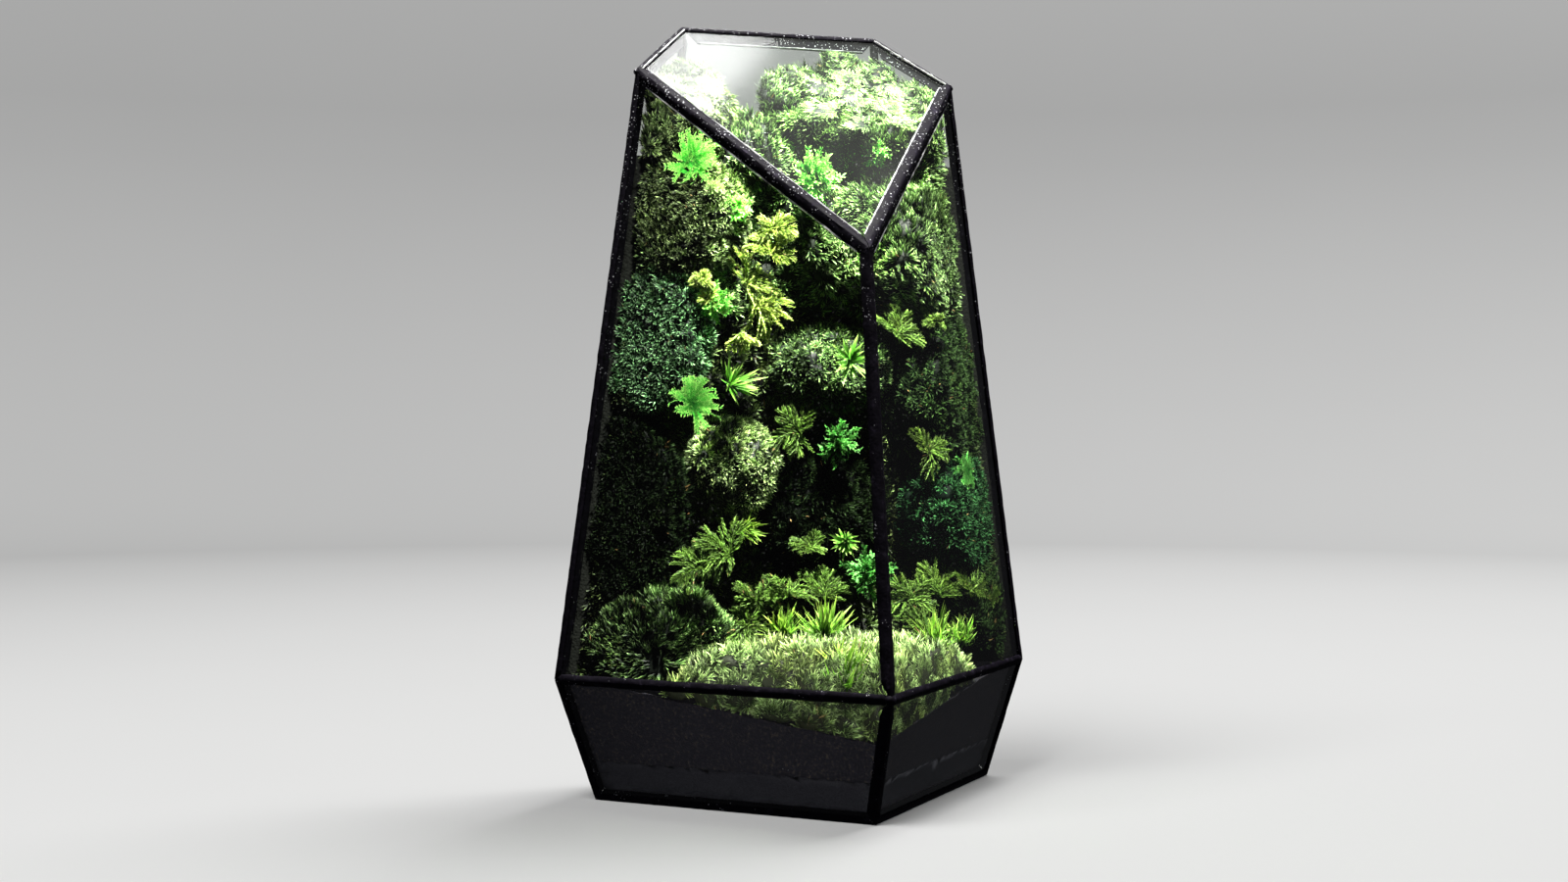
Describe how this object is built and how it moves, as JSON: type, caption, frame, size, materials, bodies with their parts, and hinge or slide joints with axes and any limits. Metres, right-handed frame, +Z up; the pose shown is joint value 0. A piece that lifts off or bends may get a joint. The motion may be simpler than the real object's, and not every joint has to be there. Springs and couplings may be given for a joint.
{
  "type": "preserved moss terrarium",
  "caption": "Closed faceted glass terrarium with a sloping top and black solder seams, planted with cushion moss, fern moss and dyed tufts over foam and soil.",
  "frame": {"origin": "middle of the case's outline, on the surface that it stands on", "axes": "+Z up through the case; the front corner seam points along -Y and the flat back pane faces +Y; +X to the right seen from the front"},
  "size_m": [0.2192, 0.1483, 0.3359],
  "materials": {
    "clear_glass": "gloss",
    "black_solder": "satin",
    "black_foam_board": "matte",
    "dark_soil": "matte",
    "dark_foam": "matte",
    "pale_moss": "matte",
    "cushion_moss": "matte",
    "fern_moss": "matte",
    "haircap_moss": "matte",
    "dyed_moss": "matte",
    "grassy_moss": "matte"
  },
  "bodies": {
    "root": {"base_pane": "clear_glass", "top_pane": "clear_glass", "lower_pane_front_right": "clear_glass", "lower_pane_rear_right": "clear_glass", "lower_pane_back": "clear_glass", "lower_pane_rear_left": "clear_glass", "lower_pane_front_left": "clear_glass", "upper_pane_front_right": "clear_glass", "upper_pane_rear_right": "clear_glass", "upper_pane_back": "clear_glass", "upper_pane_rear_left": "clear_glass", "upper_pane_front_left": "clear_glass", "seam_base_front_right": "black_solder", "seam_base_rear_right": "black_solder", "seam_base_back": "black_solder", "seam_base_rear_left": "black_solder", "seam_base_front_left": "black_solder", "seam_lower_front": "black_solder", "seam_lower_right": "black_solder", "seam_lower_back_right": "black_solder", "seam_lower_back_left": "black_solder", "seam_lower_left": "black_solder", "seam_waist_front_right": "black_solder", "seam_waist_rear_right": "black_solder", "seam_waist_back": "black_solder", "seam_waist_rear_left": "black_solder", "seam_waist_front_left": "black_solder", "seam_upper_front": "black_solder", "seam_upper_right": "black_solder", "seam_upper_back_right": "black_solder", "seam_upper_back_left": "black_solder", "seam_upper_left": "black_solder", "seam_top_front_right": "black_solder", "seam_top_rear_right": "black_solder", "seam_top_back": "black_solder", "seam_top_rear_left": "black_solder", "seam_top_front_left": "black_solder", "base_board": "black_foam_board", "soil_bed": "dark_soil", "foam_core": "dark_foam", "moss_carpet": "pale_moss", "moss_top_left": "cushion_moss", "moss_upper_left": "cushion_moss", "moss_middle_left": "cushion_moss", "moss_low_left": "cushion_moss", "moss_floor_left": "cushion_moss", "moss_centre_left": "cushion_moss", "moss_top_right": "cushion_moss", "moss_upper_right": "cushion_moss", "moss_centre": "cushion_moss", "moss_low_centre": "cushion_moss", "moss_middle_right": "cushion_moss", "moss_low_right": "cushion_moss", "moss_floor_right": "cushion_moss", "fern_valley": "fern_moss", "fern_low_left": "fern_moss", "star_moss": "haircap_moss", "dyed_tuft_left": "dyed_moss", "dyed_tuft_right": "dyed_moss", "grass_tuft": "grassy_moss"}
  },
  "joints": []
}
